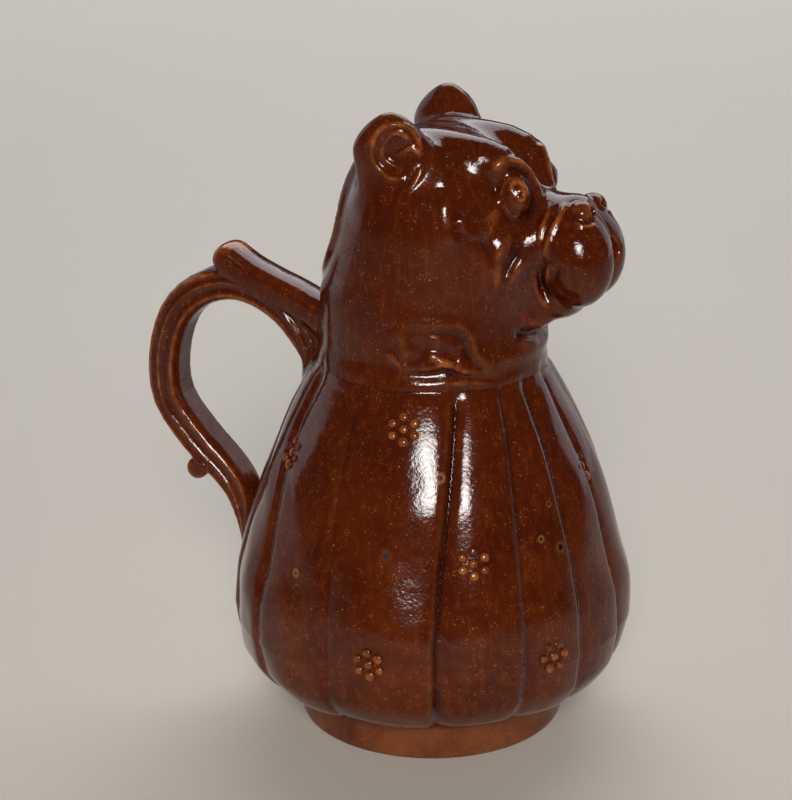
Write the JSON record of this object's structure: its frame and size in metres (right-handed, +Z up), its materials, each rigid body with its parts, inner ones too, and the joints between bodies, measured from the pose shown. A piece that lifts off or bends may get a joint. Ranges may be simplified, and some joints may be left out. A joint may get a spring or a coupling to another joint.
{
  "type": "dog head pitcher",
  "caption": "Glazed stoneware pitcher: pleated bell-shaped body, dog's head neck with a pouring hole at the muzzle, slanted filler mouth behind the ears and a scrolled strap handle.",
  "frame": {"origin": "centre of the foot's flat underside", "axes": "+X the way the dog looks, +Y its left, +Z up"},
  "size_m": [0.2028, 0.1598, 0.253],
  "materials": {
    "glazed_stoneware": "brown glaze, glossy, fired over stoneware"
  },
  "bodies": {
    "root": {"pitcher": "glazed_stoneware"}
  },
  "joints": []
}
